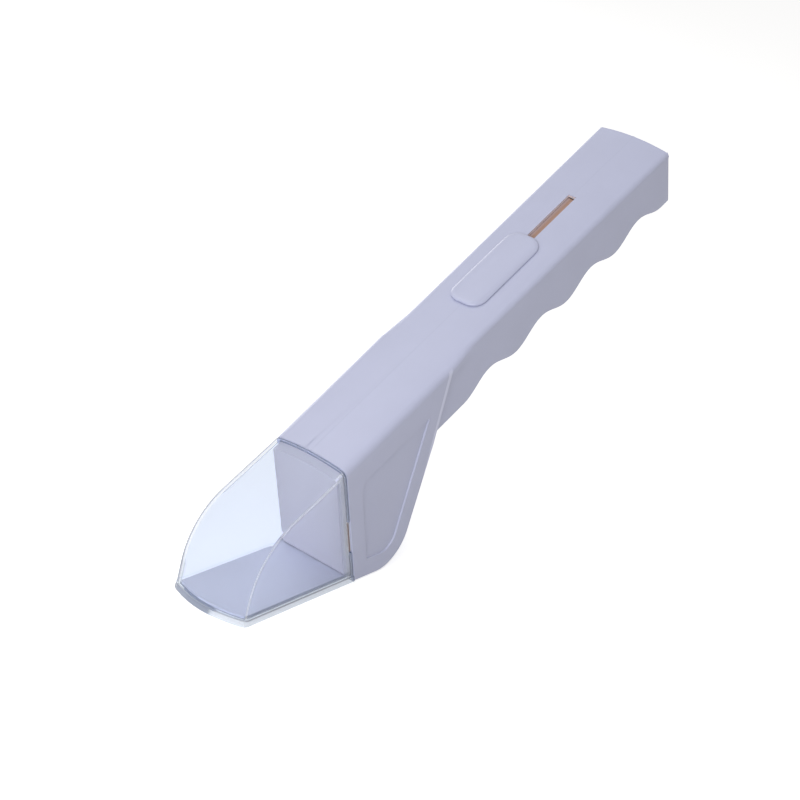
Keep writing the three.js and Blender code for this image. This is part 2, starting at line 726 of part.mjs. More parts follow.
// Thumb button: a low pad with rounded corners, whose stem snaps through the carriage's plate
function thumbButton() {
  const halfWidth = buttonWidth / 2;
  const halfLength = buttonLength / 2;
  const pad = new THREE.Shape();
  pad.moveTo(-halfWidth + buttonCorner, -halfLength);
  pad.lineTo(halfWidth - buttonCorner, -halfLength);
  pad.quadraticCurveTo(halfWidth, -halfLength, halfWidth, -halfLength + buttonCorner);
  pad.lineTo(halfWidth, halfLength - buttonCorner);
  pad.quadraticCurveTo(halfWidth, halfLength, halfWidth - buttonCorner, halfLength);
  pad.lineTo(-halfWidth + buttonCorner, halfLength);
  pad.quadraticCurveTo(-halfWidth, halfLength, -halfWidth, halfLength - buttonCorner);
  pad.lineTo(-halfWidth, -halfLength + buttonCorner);
  pad.quadraticCurveTo(-halfWidth, -halfLength, -halfWidth + buttonCorner, -halfLength);
  const padTop = crown + buttonHeight;
  const padBottom = crown * swell(halfWidth) - buttonBevel;
  const geometry = new THREE.ExtrudeGeometry(pad, {
    depth: padTop - padBottom - 2 * buttonBevel,
    bevelEnabled: true,
    bevelThickness: buttonBevel,
    bevelSize: buttonBevel,
    bevelOffset: -buttonBevel,
    bevelSegments: 2,
    curveSegments,
  });
  geometry.rotateX(-Math.PI / 2);
  geometry.translate(0, padBottom + buttonBevel, -buttonMiddle);
  geometry.applyMatrix4(handleFrame);
  const under = handlePrism(crownedSection(headHalf, -buttonGap, headEdgeRadius), -handleLength, 0);
  const stemHalf = stemWidth / 2;
  const stemRear = -buttonMiddle - stemLength / 2;
  const stemFront = -buttonMiddle + stemLength / 2;
  const footTop = plateBottom - fit;
  const footHalf = stemHalf + stemFootOverhang;
  const stemTop = crown + buttonHeight / 2;
  const stem = handleBox(stemRear, stemFront, -stemHalf, stemHalf, footTop - stemFootHeight, stemTop);
  const foot = handleBox(stemRear, stemFront, -footHalf, footHalf, footTop - stemFootHeight, footTop);
  return solidOf(geometry).subtract(under).add(stem).add(foot);
}

// One of the screws that close the shells
function shellScrew({ place, half }) {
  const seat = -half + screwSink - fit;
  const profile = [
    [0, seat - screwHeadHeight],
    [screwHeadRadius, seat - screwHeadHeight],
    [screwHeadRadius, seat],
    [screwRadius, seat],
    [screwRadius, screwTipY - screwRadius],
    [0, screwTipY],
  ].map(([radius, y]) => new THREE.Vector2(radius, y));
  const geometry = new THREE.LatheGeometry(profile, roundSides);
  geometry.translate(place.x, 0, place.y);
  return solidOf(geometry);
}

const shellPlastic = { color: 0xbfc3dc, roughness: 0.45, metalness: 0 };
const buttonPlastic = { color: 0xc0c4dd, roughness: 0.4, metalness: 0 };
const clearPlastic = { color: 0xe6ecf8, roughness: 0.08, metalness: 0, transparent: true, opacity: 0.3 };
const stripPlastic = { color: 0xb8bcd8, roughness: 0.5, metalness: 0 };
const carriagePlastic = { color: 0xa3897f, roughness: 0.55, metalness: 0 };
const steel = { color: 0xb4b6ba, roughness: 0.35, metalness: 1 };

const bugCatcher = new THREE.Group();

function addPiece(name, solid, finish) {
  const mesh = new THREE.Mesh(geometryOf(solid), new THREE.MeshStandardMaterial(finish));
  mesh.name = name;
  bugCatcher.add(mesh);
}

const shell = wholeShell();
addPiece('left_shell', shellHalf(shell, 1), shellPlastic);
addPiece('right_shell', shellHalf(shell, -1), shellPlastic);
addPiece('front_bulkhead', frontBulkhead(), shellPlastic);
addPiece('viewing_chamber', viewingChamber(), clearPlastic);
addPiece('trap_door', doorPanel(), stripPlastic);
addPiece('door_strip_floor', stripFloor(), stripPlastic);
addPiece('door_strip_guided', stripGuided(), stripPlastic);
addPiece('door_strip_end', stripEnd(), stripPlastic);
addPiece('slider_carriage', sliderCarriage(), carriagePlastic);
addPiece('thumb_button', thumbButton(), buttonPlastic);
addPiece('strip_rivet_left', rivet(1), steel);
addPiece('strip_rivet_right', rivet(-1), steel);
screwPlaces.forEach((screw, index) => addPiece(`shell_screw_${index + 1}`, shellScrew(screw), steel));

// The frame's origin lies on the base, midway between the rear end and the tip
const rearX = handlePoint(-handleLength, -handleDepth).x;
bugCatcher.position.x = -(rearX + chamberLength + noseBulge + rimProud) / 2;

export default bugCatcher;
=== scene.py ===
# Looks for the hand-held bug catcher: materials, soft edges, small details, light and camera.
# Metres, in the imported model's frame. +X points to the chamber's tip, +Y to the catcher's left, +Z up.
# Handle sizes run along it (f, forward) and square to it (u, up) from the front wall's top edge.
import math

import bmesh
import bpy
from mathutils import Euler, Matrix, Vector


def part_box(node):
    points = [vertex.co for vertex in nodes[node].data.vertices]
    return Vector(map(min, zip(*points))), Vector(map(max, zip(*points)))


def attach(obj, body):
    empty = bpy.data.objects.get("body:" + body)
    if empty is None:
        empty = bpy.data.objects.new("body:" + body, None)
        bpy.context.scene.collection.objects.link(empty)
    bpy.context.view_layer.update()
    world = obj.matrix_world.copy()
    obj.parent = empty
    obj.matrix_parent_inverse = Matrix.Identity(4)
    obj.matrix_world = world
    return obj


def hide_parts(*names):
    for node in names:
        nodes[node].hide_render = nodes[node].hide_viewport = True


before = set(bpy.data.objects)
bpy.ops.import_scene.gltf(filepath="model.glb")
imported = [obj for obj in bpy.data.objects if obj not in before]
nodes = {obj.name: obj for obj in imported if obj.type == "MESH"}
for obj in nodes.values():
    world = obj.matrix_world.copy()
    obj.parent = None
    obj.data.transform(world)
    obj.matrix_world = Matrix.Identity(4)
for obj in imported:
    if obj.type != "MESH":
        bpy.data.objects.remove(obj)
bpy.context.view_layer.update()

MM = 0.001
ORIGIN = Vector((0, 0, 0))
X_AXIS = Vector((1, 0, 0))
Y_AXIS = Vector((0, 1, 0))
Z_AXIS = Vector((0, 0, 1))

# Camera at the photograph's viewing angle, its turns about X, Y and Z in degrees
CAMERA_PLACE = (0.497648, 0.289001, 0.273133)
CAMERA_TURNS = (67.6055, -12.8616, 126.3491)
CAMERA_LENS = 90
CAMERA_SENSOR = 36
CAMERA_CLIP = 0.01

# Colours, linear
SHELL_COLOUR = (0.53, 0.55, 0.72)
SEAM_COLOUR = (0.505, 0.525, 0.69)
BUTTON_COLOUR = (0.53, 0.55, 0.72)
# The bulkhead is the shell's plastic, painted greyer and darker to offset the blue light inside the
# chamber; its top holds painted shade, its sides painted light
BULKHEAD_COLOUR = (0.50, 0.485, 0.55)
BULKHEAD_TOP_SHADE_COLOUR = (0.39, 0.378, 0.43)
BULKHEAD_SIDE_LIGHT_COLOUR = (0.66, 0.64, 0.74)
STRIP_COLOUR = (0.50, 0.51, 0.61)
CARRIAGE_COLOUR = (0.41, 0.25, 0.185)
# Painted light at the carriage's right edge, where the slot's wall shades it
CARRIAGE_EDGE_LIGHT_COLOUR = (0.58, 0.44, 0.43)
CLEAR_COLOUR = (0.89, 0.925, 0.985)
# Painted grey-blue shade where the clear plastic is seen edge-on, also on the lugs' fronts
EDGE_ON_SHADE_COLOUR = (0.38, 0.41, 0.52)
# Milky haze on the foot rim, and painted highlights on the chamber's left wall, its roof edges and the
# lugs
MILKY_AND_HIGHLIGHT_COLOUR = (0.93, 0.96, 1.0)
# Painted shade lines on the clear plastic
PAINTED_DARK_LINE_COLOUR = (0.17, 0.2, 0.29)
# Painted brown shadow in the gap in front of the left lug
LUG_SHADOW_COLOUR = (0.2, 0.135, 0.13)
# Painted highlight along the crease
CREASE_HIGHLIGHT_COLOUR = (0.7, 0.72, 0.9)
# Painted warm light on the slot's walls, lifting their shade
SLOT_WALL_LIGHT_COLOUR = (0.85, 0.77, 0.8)
STEEL_COLOUR = (0.62, 0.62, 0.64)

# Light
WORLD_STRENGTH = 0.42
WORLD_COLOUR = (1.0, 0.985, 0.97)
LAMP_COLOUR = (0.97, 0.985, 1.0)
KEY_POWER = 1.5
KEY_PLACE = (0.15, -0.45, 0.88)
KEY_SIZE = 0.6
FAR_POWER = 1.0
FAR_PLACE = (-0.45, -0.8, 0.22)
FAR_SIZE = 0.4
FILL_POWER = 3.6
FILL_PLACE = (0.75, 0.2, 0.35)
FILL_SIZE = 0.5

# Floor
FLOOR_COLOUR = (0.8, 0.8, 0.8)
FLOOR_ROUGHNESS = 0.9
FLOOR_GLOW = 0.6
FLOOR_GLOW_THROUGH = 0.4  # as reflections and the clear plastic show it
FLOOR_SIZE = 6
FLOOR_DROP = 0.2 * MM

# Places on the part
HANDLE_ANGLE = math.radians(29.5)
HANDLE_LENGTH = 167.5 * MM
HANDLE_FORWARD = Vector((math.cos(HANDLE_ANGLE), 0, -math.sin(HANDLE_ANGLE)))
HANDLE_UP = Vector((math.sin(HANDLE_ANGLE), 0, math.cos(HANDLE_ANGLE)))
WALL_FOOT_X = 41.241 * MM
WALL_LEAN = 18.2 * MM
WALL_HEIGHT = 40.6 * MM
WALL_FOOT = Vector((WALL_FOOT_X, 0, 0))
WALL_TOP = WALL_FOOT + Vector((WALL_LEAN, 0, WALL_HEIGHT))
WALL_LINE = (WALL_TOP - WALL_FOOT).normalized()
WALL_AHEAD = Vector((WALL_LINE.z, 0, -WALL_LINE.x))
HEAD_LENGTH = 25.5 * MM  # wall's foot to the crease, where the handle starts
CREASE_X = WALL_FOOT.x - HEAD_LENGTH
FAIRING_LENGTH = 12 * MM
FAIRING_DEPTH = 3.4 * MM
HEAD_HALF_WIDTH = 13.3 * MM
CROWN = 1.4 * MM

# Seam between the shells
SEAM_HALF = 0.1 * MM
SEAM_SLACK = 0.005 * MM  # between the tongue and each shell
SEAM_FACING = 0.99

# Roundings of the shells' edges, as a width and shares of it
ROUND_WIDTH = 1.0 * MM
ROUND_SHARE = 0.24
ROUND_REAR_SHARE = 0.4
ROUND_CREASE_SHARE = 0.5
ROUND_SEGMENTS = 3
PLAIN_HALF = 2 * MM  # edges this near the middle plane stay plain, except at the rear end
CREASE_MARGIN = 0.4 * MM
REAR_MARGIN = 0.6 * MM
FAIRING_MARGIN = 0.5 * MM
SHARP_ANGLE = math.radians(35)
SMOOTH_ANGLE = math.radians(32)
FLAT_ANGLE = math.radians(0.1)
WELD_DISTANCE = 0.001 * MM
NORMAL_WEIGHT = 50

# Noise in the materials
NOISE_DETAIL = 3
NOISE_WHOLE = (0.1, 0.9)  # stretches of the noise that a range is spread over
NOISE_MIDDLE = (0.3, 0.7)

# Moulded plastic
MOTTLE = 0.03
MOTTLE_SCALE = 70
SHEEN_CHANGE = 0.03
SHEEN_SCALE = 140
GRAIN_SCALE = 2600
GRAIN_DEPTH = 0.03 * MM
GRAIN_STRENGTH = 0.12
SHELL_ROUGHNESS = 0.36
BULKHEAD_ROUGHNESS = 0.5
SEAM_ROUGHNESS = 0.5
BUTTON_ROUGHNESS = 0.3
STRIP_ROUGHNESS = 0.45
CARRIAGE_ROUGHNESS = 0.5

# Painted light and shade on the shells, the bulkhead and the carriage
LUG_GAP = 0.1 * MM  # distances ahead of the front wall where the lugs' painted shade and highlight change
LUG_FOOT = 0.2 * MM
LUG_MIDDLE = 0.3 * MM
CREASE_LINE = 1.5 * MM
CREASE_FACING = 0.7
SLOT_START = 70 * MM  # a stretch that holds the slot, measured back along the handle
SLOT_END = 140 * MM
SLOT_HALF = 1.6 * MM
SLOT_RIM = 0.25 * MM  # the slot's top edge keeps the shell's colour
SLOT_DEPTH = 2.8 * MM
BULKHEAD_FACING = 0.5
CARRIAGE_EDGE = 1.2 * MM  # to the right of the middle plane
CARRIAGE_FADE = 0.75 * MM

# Clear plastic, its painted dark lines, its milky places and its painted highlights
CLEAR_IOR = 1.05
CLEAR_ROUGHNESS = 0.03
CLEAR_SCALE = 60
EDGE_ON_FACING = (0.75, 0.97)
MILKY_ROUGHNESS = 0.2
LEFT_WALL = 12 * MM  # the chamber's side walls lie beyond these
RIGHT_WALL = -12 * MM
BLUR = 0.2 * MM
EDGE_BLUR = 0.13  # in how far the surface faces sideways
ROOF_FACING = 0.2
ROOF_BAND = 0.8 * MM
ROOF_BAND_SHADE = 0.95
SIDE_BAND = 0.7 * MM
SIDE_BAND_SHADE = 0.8
RIM_HEIGHT = 2 * MM
RIM_LINE = 0.35 * MM
RIM_LINE_SHADE = 0.5
OUTLINE_SIDEWAYS = (0.3, 0.97)
OUTLINE_FACING = (0.45, 0.7)
TIP_FACING = 0.4
TIP_SHADE = 0.75
TIP_EDGE = 4 * MM  # the front rim is shaded up to here, to the left of the middle plane
TIP_FADE = 2 * MM
LEAST_SHADE = 0.05  # weaker lines stay milky
# share of the foot rim's milky haze and of the painted highlight at the left wall's rear end
HAZE = 0.22
REAR_HIGHLIGHT_REACH = 3.2 * MM
FILLET_HIGHLIGHT = 0.3
FILLET_SIDEWAYS = (0.6, 0.95)
FILLET_FACING = (0.4, 0.6)

# Steel
STEEL_DARK_SHARE = 0.85
STEEL_MOTTLE_SCALE = 900
STEEL_SHEEN_SCALE = 1600
STEEL_ROUGHNESS = (0.25, 0.4)

# Thumb button
PAD_MIDDLE = 90.3 * MM  # measured back along the handle
PAD_ASIDE = -0.4 * MM  # to the right
PAD_HALF_LENGTH = 17.25 * MM
PAD_HALF_WIDTH = 6.2 * MM
PAD_BOW = 0.6 * MM  # how far the middle of each end stands out
PAD_CORNER = 4.2 * MM
PAD_GAP = 0.15 * MM
PAD_UNDERCUT = 0.25 * MM
PAD_HEIGHT = 1.1 * MM  # above the handle's rounded top, along its middle
PAD_FALL = 0.55 * MM  # how far the sides lie below the middle
PAD_FLAT = 2.4 * MM  # half the width of the flat middle
PAD_ROUND = 1.5 * MM
PAD_ROUND_DROP = 0.55 * MM
ROUND_STEPS = 6
CORNER_STEPS = 10
FALL_STEPS = 4
STEM_MIDDLE = 89.5 * MM
STEM_HALF_LENGTH = 8 * MM
STEM_HALF_WIDTH = 1.1 * MM
STEM_FOOT = -3.9 * MM  # below the handle's top edge line
STEM_FOOT_HEIGHT = 0.9 * MM
STEM_FOOT_HALF_WIDTH = 1.6 * MM

# Flexible sheet behind the trap door
SHEET_INSET = 0.02 * MM
SHEET_CORNER = 2 * MM

# Screws; a head's profile runs from its top, as shares of its radius and height
SCREW_COUNT = 4
SCREW_SIDES = 32
SCREW_HEAD = 1.6 * MM
HEAD_PROFILE = ((0.62, 0), (0.84, 0.16), (0.97, 0.45), (0.97, 1))
SHANK_SHARE = 0.5
POINT_SHARE = 0.1
RECESS_REACH = 1.25 * MM
RECESS_HALF_WIDTH = 0.28 * MM
RECESS_DEPTH = 0.8 * MM
RECESS_FLOOR_REACH = 0.7 * RECESS_REACH
RECESS_FLOOR_HALF_WIDTH = 0.8 * RECESS_HALF_WIDTH


def link(tree, source, target):
    tree.links.new(source, target)


def calc(tree, operation, *values):
    node = tree.nodes.new("ShaderNodeMath")
    node.operation = operation
    for socket, value in zip(node.inputs, values):
        if isinstance(value, (int, float)):
            socket.default_value = value
        else:
            link(tree, value, socket)
    return node.outputs["Value"]


def combine(tree, operation, values):
    result, *others = values
    for value in others:
        result = calc(tree, operation, result, value)
    return result


def product(tree, *values):
    return combine(tree, "MULTIPLY", values)


def largest(tree, *values):
    return combine(tree, "MAXIMUM", values)


# These three give one where a value keeps to its limits, else nought
def above(tree, value, limit):
    return calc(tree, "GREATER_THAN", value, limit)


def below(tree, value, limit):
    return calc(tree, "LESS_THAN", value, limit)


def between(tree, value, low, high):
    return calc(tree, "COMPARE", value, (low + high) / 2, (high - low) / 2)


# A value that runs from low to high while the one it follows runs from start to end
def spread(tree, value, low, high, start, end):
    ramp = tree.nodes.new("ShaderNodeMapRange")
    ramp.inputs["From Min"].default_value = start
    ramp.inputs["From Max"].default_value = end
    ramp.inputs["To Min"].default_value = low
    ramp.inputs["To Max"].default_value = high
    link(tree, value, ramp.inputs["Value"])
    return ramp.outputs["Result"]


def distance_along(tree, position, direction, origin=ORIGIN):
    dot = tree.nodes.new("ShaderNodeVectorMath")
    dot.operation = "DOT_PRODUCT"
    dot.inputs[1].default_value = direction
    link(tree, position, dot.inputs[0])
    return calc(tree, "SUBTRACT", dot.outputs["Value"], direction.dot(origin))


def object_place(tree):
    return tree.nodes.new("ShaderNodeTexCoord").outputs["Object"]


def facing_along(tree, direction):
    normal = tree.nodes.new("ShaderNodeTexCoord").outputs["Normal"]
    return distance_along(tree, normal, direction)


def facing_sideways(tree):
    return calc(tree, "ABSOLUTE", facing_along(tree, Y_AXIS))


def noise(tree, scale):
    texture = tree.nodes.new("ShaderNodeTexNoise")
    texture.inputs["Scale"].default_value = scale
    texture.inputs["Detail"].default_value = NOISE_DETAIL
    link(tree, object_place(tree), texture.inputs["Vector"])
    return texture.outputs["Fac"]


# Two colours blended by a value; the first may be the result of other nodes
def tint(tree, value, first, second):
    mix = tree.nodes.new("ShaderNodeMix")
    mix.data_type = "RGBA"
    if isinstance(first, bpy.types.NodeSocket):
        link(tree, first, mix.inputs["A"])
    else:
        mix.inputs["A"].default_value = (*first, 1)
    mix.inputs["B"].default_value = (*second, 1)
    link(tree, value, mix.inputs["Factor"])
    return mix.outputs["Result"]


def mix_shaders(tree, share, first, second):
    mix = tree.nodes.new("ShaderNodeMixShader")
    link(tree, share, mix.inputs["Fac"])
    link(tree, first, mix.inputs[1])
    link(tree, second, mix.inputs[2])
    return mix.outputs["Shader"]


def new_material(name):
    material = bpy.data.materials.new(name)
    material.use_nodes = True
    return material, material.node_tree, material.node_tree.nodes["Principled BSDF"]


def grain(tree, shader):
    bump = tree.nodes.new("ShaderNodeBump")
    bump.inputs["Strength"].default_value = GRAIN_STRENGTH
    bump.inputs["Distance"].default_value = GRAIN_DEPTH
    link(tree, noise(tree, GRAIN_SCALE), bump.inputs["Height"])
    link(tree, bump.outputs["Normal"], shader.inputs["Normal"])


def moulded_plastic(name, colour, roughness, marks=None):
    material, tree, shader = new_material(name)
    dark = [part * (1 - MOTTLE) for part in colour]
    light = [part * (1 + MOTTLE) for part in colour]
    shade = tint(tree, spread(tree, noise(tree, MOTTLE_SCALE), 0, 1, *NOISE_WHOLE), dark, light)
    if marks:
        shade = marks(tree, shade)
    link(tree, shade, shader.inputs["Base Color"])
    shiny = roughness - SHEEN_CHANGE
    dull = roughness + SHEEN_CHANGE
    sheen = spread(tree, noise(tree, SHEEN_SCALE), shiny, dull, *NOISE_WHOLE)
    link(tree, sheen, shader.inputs["Roughness"])
    grain(tree, shader)
    return material


# Painted light and shade on the shells: each lug with a painted grey-blue shade line and a painted white
# highlight, the left one with a brown painted shadow in front, a painted highlight along the crease and
# painted warm light on the slot walls
def shell_painted_light_and_shade(tree, colour):
    place = object_place(tree)
    ahead = distance_along(tree, place, WALL_AHEAD, WALL_FOOT)
    x = distance_along(tree, place, X_AXIS)
    y = distance_along(tree, place, Y_AXIS)
    f = distance_along(tree, place, HANDLE_FORWARD, WALL_TOP)
    u = distance_along(tree, place, HANDLE_UP, WALL_TOP)
    # Painted shade line, painted highlight and, on the left lug, painted shadow on the lugs' fronts
    colour = tint(tree, above(tree, ahead, LUG_GAP), colour, EDGE_ON_SHADE_COLOUR)
    colour = tint(tree, above(tree, ahead, LUG_FOOT), colour, MILKY_AND_HIGHLIGHT_COLOUR)
    left_lug_shadow = product(tree, above(tree, ahead, LUG_MIDDLE), above(tree, y, 0))
    colour = tint(tree, left_lug_shadow, colour, LUG_SHADOW_COLOUR)
    # Painted highlight along the crease, on the faces turned sideways
    at_crease = between(tree, x, CREASE_X, CREASE_X + CREASE_LINE)
    crease = product(tree, at_crease, spread(tree, facing_sideways(tree), 0, 1, CREASE_FACING, 1))
    colour = tint(tree, crease, colour, CREASE_HIGHLIGHT_COLOUR)
    # Painted warm light on the slot's walls, lifting their shade
    along_slot = between(tree, f, -SLOT_END, -SLOT_START)
    under_rim = between(tree, u, -SLOT_DEPTH, CROWN - SLOT_RIM)
    across_slot = between(tree, y, -SLOT_HALF, SLOT_HALF)
    return tint(tree, product(tree, along_slot, under_rim, across_slot), colour, SLOT_WALL_LIGHT_COLOUR)


# The tray behind the chamber is painted a little darker on top and lighter on its sides than on its face:
# painted shade on top, painted light on its sides
def bulkhead_painted_shading(tree, colour):
    on_top = above(tree, facing_along(tree, HANDLE_UP), BULKHEAD_FACING)
    colour = tint(tree, on_top, colour, BULKHEAD_TOP_SHADE_COLOUR)
    on_side = above(tree, facing_sideways(tree), BULKHEAD_FACING)
    return tint(tree, on_side, colour, BULKHEAD_SIDE_LIGHT_COLOUR)


# The carriage is painted paler and greyer towards its right edge, painted light that lifts the shade cast
# there by the slot's wall
def carriage_painted_light(tree, colour):
    y = distance_along(tree, object_place(tree), Y_AXIS)
    edge = spread(tree, y, 1, 0, -CARRIAGE_EDGE, CARRIAGE_FADE - CARRIAGE_EDGE)
    return tint(tree, edge, colour, CARRIAGE_EDGE_LIGHT_COLOUR)


# Share of the roof's rounded edges, found by how far the surface faces sideways
def rounded_edge(tree, start, end):
    sideways = facing_sideways(tree)
    rise = spread(tree, sideways, 0, 1, start, start + EDGE_BLUR)
    fall = spread(tree, sideways, 1, 0, end - EDGE_BLUR, end)
    return product(tree, rise, fall)


# Height above the base, distance ahead of the front wall and distance to the left
def chamber_places(tree):
    place = object_place(tree)
    height = distance_along(tree, place, Z_AXIS)
    ahead = distance_along(tree, place, WALL_AHEAD, WALL_FOOT)
    y = distance_along(tree, place, Y_AXIS)
    return height, ahead, y


# Painted shade in grey-blue lines: the chamber's rear edge, its rim's top, its outline and the right part
# of its front rim
def painted_dark_lines(tree, facing):
    height, ahead, y = chamber_places(tree)
    on_roof = above(tree, facing_along(tree, HANDLE_UP), ROOF_FACING)
    roof_fade = spread(tree, ahead, ROOF_BAND_SHADE, 0, ROOF_BAND - BLUR, ROOF_BAND)
    on_left_wall = above(tree, y, LEFT_WALL)
    side_fade = spread(tree, ahead, SIDE_BAND_SHADE, 0, SIDE_BAND - BLUR, SIDE_BAND)
    off_right_wall = above(tree, y, RIGHT_WALL)
    rim_top = calc(tree, "COMPARE", height, RIM_HEIGHT, RIM_LINE / 2)
    rounded = rounded_edge(tree, *OUTLINE_SIDEWAYS)
    outline_rise = spread(tree, facing, 0, 1, *OUTLINE_FACING)
    on_tip = above(tree, facing_along(tree, X_AXIS), TIP_FACING)
    in_rim = below(tree, height, RIM_HEIGHT)
    tip_fade = spread(tree, y, TIP_SHADE, 0, TIP_EDGE - TIP_FADE, TIP_EDGE)
    return largest(
        tree,
        product(tree, on_roof, roof_fade),
        product(tree, on_left_wall, side_fade),
        product(tree, rim_top, off_right_wall, RIM_LINE_SHADE),
        product(tree, rounded, outline_rise),
        product(tree, on_tip, in_rim, off_right_wall, tip_fade),
    )


# Milky haze on the chamber's foot rim, and painted highlights at its left wall's rear end and along the
# roof's rounded edges
def milky_and_highlight_places(tree, facing):
    height, ahead, y = chamber_places(tree)
    foot_fade = spread(tree, height, HAZE, 0, RIM_HEIGHT - BLUR, RIM_HEIGHT)
    off_right_wall = above(tree, y, RIGHT_WALL)
    on_left_wall = above(tree, y, LEFT_WALL)
    rear_highlight_fade = spread(tree, ahead, HAZE, 0, REAR_HIGHLIGHT_REACH - BLUR, REAR_HIGHLIGHT_REACH)
    rounded = rounded_edge(tree, *FILLET_SIDEWAYS)
    fillet_highlight = spread(tree, facing, FILLET_HIGHLIGHT, 0, *FILLET_FACING)
    return largest(
        tree,
        product(tree, foot_fade, off_right_wall),
        product(tree, on_left_wall, rear_highlight_fade),
        product(tree, rounded, fillet_highlight),
    )


# Clear plastic that casts no shadow, painted grey-blue where it is seen edge-on, with painted dark lines,
# milky places and painted highlights
def clear_plastic():
    material, tree, shader = new_material("clear_plastic")
    facing = tree.nodes.new("ShaderNodeLayerWeight").outputs["Facing"]
    # Painted shade: the plastic turns grey-blue where it is seen edge-on
    edge_on = spread(tree, facing, 0, 1, *EDGE_ON_FACING)
    link(tree, tint(tree, edge_on, CLEAR_COLOUR, EDGE_ON_SHADE_COLOUR), shader.inputs["Base Color"])
    shader.inputs["Transmission Weight"].default_value = 1
    shader.inputs["IOR"].default_value = CLEAR_IOR
    roughness = spread(tree, noise(tree, CLEAR_SCALE), 0, CLEAR_ROUGHNESS, *NOISE_MIDDLE)
    link(tree, roughness, shader.inputs["Roughness"])
    milky = tree.nodes.new("ShaderNodeBsdfPrincipled")
    milky.inputs["Roughness"].default_value = MILKY_ROUGHNESS
    dark = painted_dark_lines(tree, facing)
    shade = tint(tree, above(tree, dark, LEAST_SHADE), MILKY_AND_HIGHLIGHT_COLOUR, PAINTED_DARK_LINE_COLOUR)
    link(tree, shade, milky.inputs["Base Color"])
    share = largest(tree, dark, milky_and_highlight_places(tree, facing))
    body = mix_shaders(tree, share, shader.outputs["BSDF"], milky.outputs["BSDF"])
    path = tree.nodes.new("ShaderNodeLightPath")
    through = tree.nodes.new("ShaderNodeBsdfTransparent")
    whole = mix_shaders(tree, path.outputs["Is Shadow Ray"], body, through.outputs["BSDF"])
    link(tree, whole, tree.nodes["Material Output"].inputs["Surface"])
    return material


def steel():
    material, tree, shader = new_material("fastener_steel")
    dark = [part * STEEL_DARK_SHARE for part in STEEL_COLOUR]
    shade = tint(tree, noise(tree, STEEL_MOTTLE_SCALE), dark, STEEL_COLOUR)
    link(tree, shade, shader.inputs["Base Color"])
    shader.inputs["Metallic"].default_value = 1
    roughness = spread(tree, noise(tree, STEEL_SHEEN_SCALE), *STEEL_ROUGHNESS, *NOISE_MIDDLE)
    link(tree, roughness, shader.inputs["Roughness"])
    return material


def new_group(name):
    group = bpy.data.node_groups.new(name, "GeometryNodeTree")
    group.interface.new_socket("Geometry", in_out="INPUT", socket_type="NodeSocketGeometry")
    group.interface.new_socket("Geometry", in_out="OUTPUT", socket_type="NodeSocketGeometry")
    entry = group.nodes.new("NodeGroupInput").outputs["Geometry"]
    leave = group.nodes.new("NodeGroupOutput").inputs["Geometry"]
    return group, entry, leave


def edge_angle(group):
    return group.nodes.new("GeometryNodeInputMeshEdgeAngle").outputs["Unsigned Angle"]


def edge_middle(group):
    ends = group.nodes.new("GeometryNodeInputMeshEdgeVertices")
    total = group.nodes.new("ShaderNodeVectorMath")
    link(group, ends.outputs["Position 1"], total.inputs[0])
    link(group, ends.outputs["Position 2"], total.inputs[1])
    middle = group.nodes.new("ShaderNodeVectorMath")
    middle.operation = "SCALE"
    middle.inputs["Scale"].default_value = 0.5
    link(group, total.outputs["Vector"], middle.inputs[0])
    return middle.outputs["Vector"]


def smoothing_group():
    group, entry, leave = new_group("smooth_by_angle")
    normals = group.nodes.new("GeometryNodeSetMeshNormal")
    normals.mode = "SHARPNESS"
    normals.inputs["Remove Custom"].default_value = True
    normals.inputs["Face Sharpness"].default_value = False
    sharp = above(group, edge_angle(group), SMOOTH_ANGLE)
    link(group, sharp, normals.inputs["Edge Sharpness"])
    link(group, entry, normals.inputs["Mesh"])
    link(group, normals.outputs["Mesh"], leave)
    return group


# How far each sharp edge of a shell is rounded: most at the crease and rear end, not along the seam
def rounding_group():
    group, entry, leave = new_group("edge_rounding")
    place = edge_middle(group)
    x = distance_along(group, place, X_AXIS)
    y = calc(group, "ABSOLUTE", distance_along(group, place, Y_AXIS))
    f = distance_along(group, place, HANDLE_FORWARD, WALL_TOP)
    u = distance_along(group, place, HANDLE_UP, WALL_TOP)
    under_fairing = below(group, u, -FAIRING_DEPTH)
    at_crease = product(group, calc(group, "COMPARE", x, CREASE_X, CREASE_MARGIN), under_fairing)
    at_rear = below(group, f, REAR_MARGIN - HANDLE_LENGTH)
    rear_share = product(group, at_rear, ROUND_REAR_SHARE)
    crease_share = product(group, at_crease, ROUND_CREASE_SHARE)
    share = largest(group, rear_share, ROUND_SHARE, crease_share)
    half_fairing = FAIRING_LENGTH / 2
    on_fairing = calc(group, "COMPARE", x, CREASE_X - half_fairing, half_fairing + FAIRING_MARGIN)
    clear_of_fairing = largest(group, calc(group, "SUBTRACT", 1, on_fairing), under_fairing)
    beside_middle = largest(group, above(group, y, PLAIN_HALF), at_rear)
    off_seam = above(group, y, 2 * SEAM_HALF)
    sharp = above(group, edge_angle(group), SHARP_ANGLE)
    share = product(group, share, clear_of_fairing, beside_middle, off_seam, sharp)
    store = group.nodes.new("GeometryNodeStoreNamedAttribute")
    store.data_type = "FLOAT"
    store.domain = "EDGE"
    store.inputs["Name"].default_value = "bevel_weight_edge"
    link(group, share, store.inputs["Value"])
    link(group, entry, store.inputs["Geometry"])
    link(group, store.outputs["Geometry"], leave)
    return group


def smooth(piece):
    modifier = piece.modifiers.new("smooth_by_angle", "NODES")
    modifier.node_group = smooth_by_angle
    weighted = piece.modifiers.new("flat_faces_stay_flat", "WEIGHTED_NORMAL")
    weighted.mode = "FACE_AREA"
    weighted.weight = NORMAL_WEIGHT
    weighted.keep_sharp = True


def weld(piece):
    modifier = piece.modifiers.new("weld", "WELD")
    modifier.merge_threshold = WELD_DISTANCE


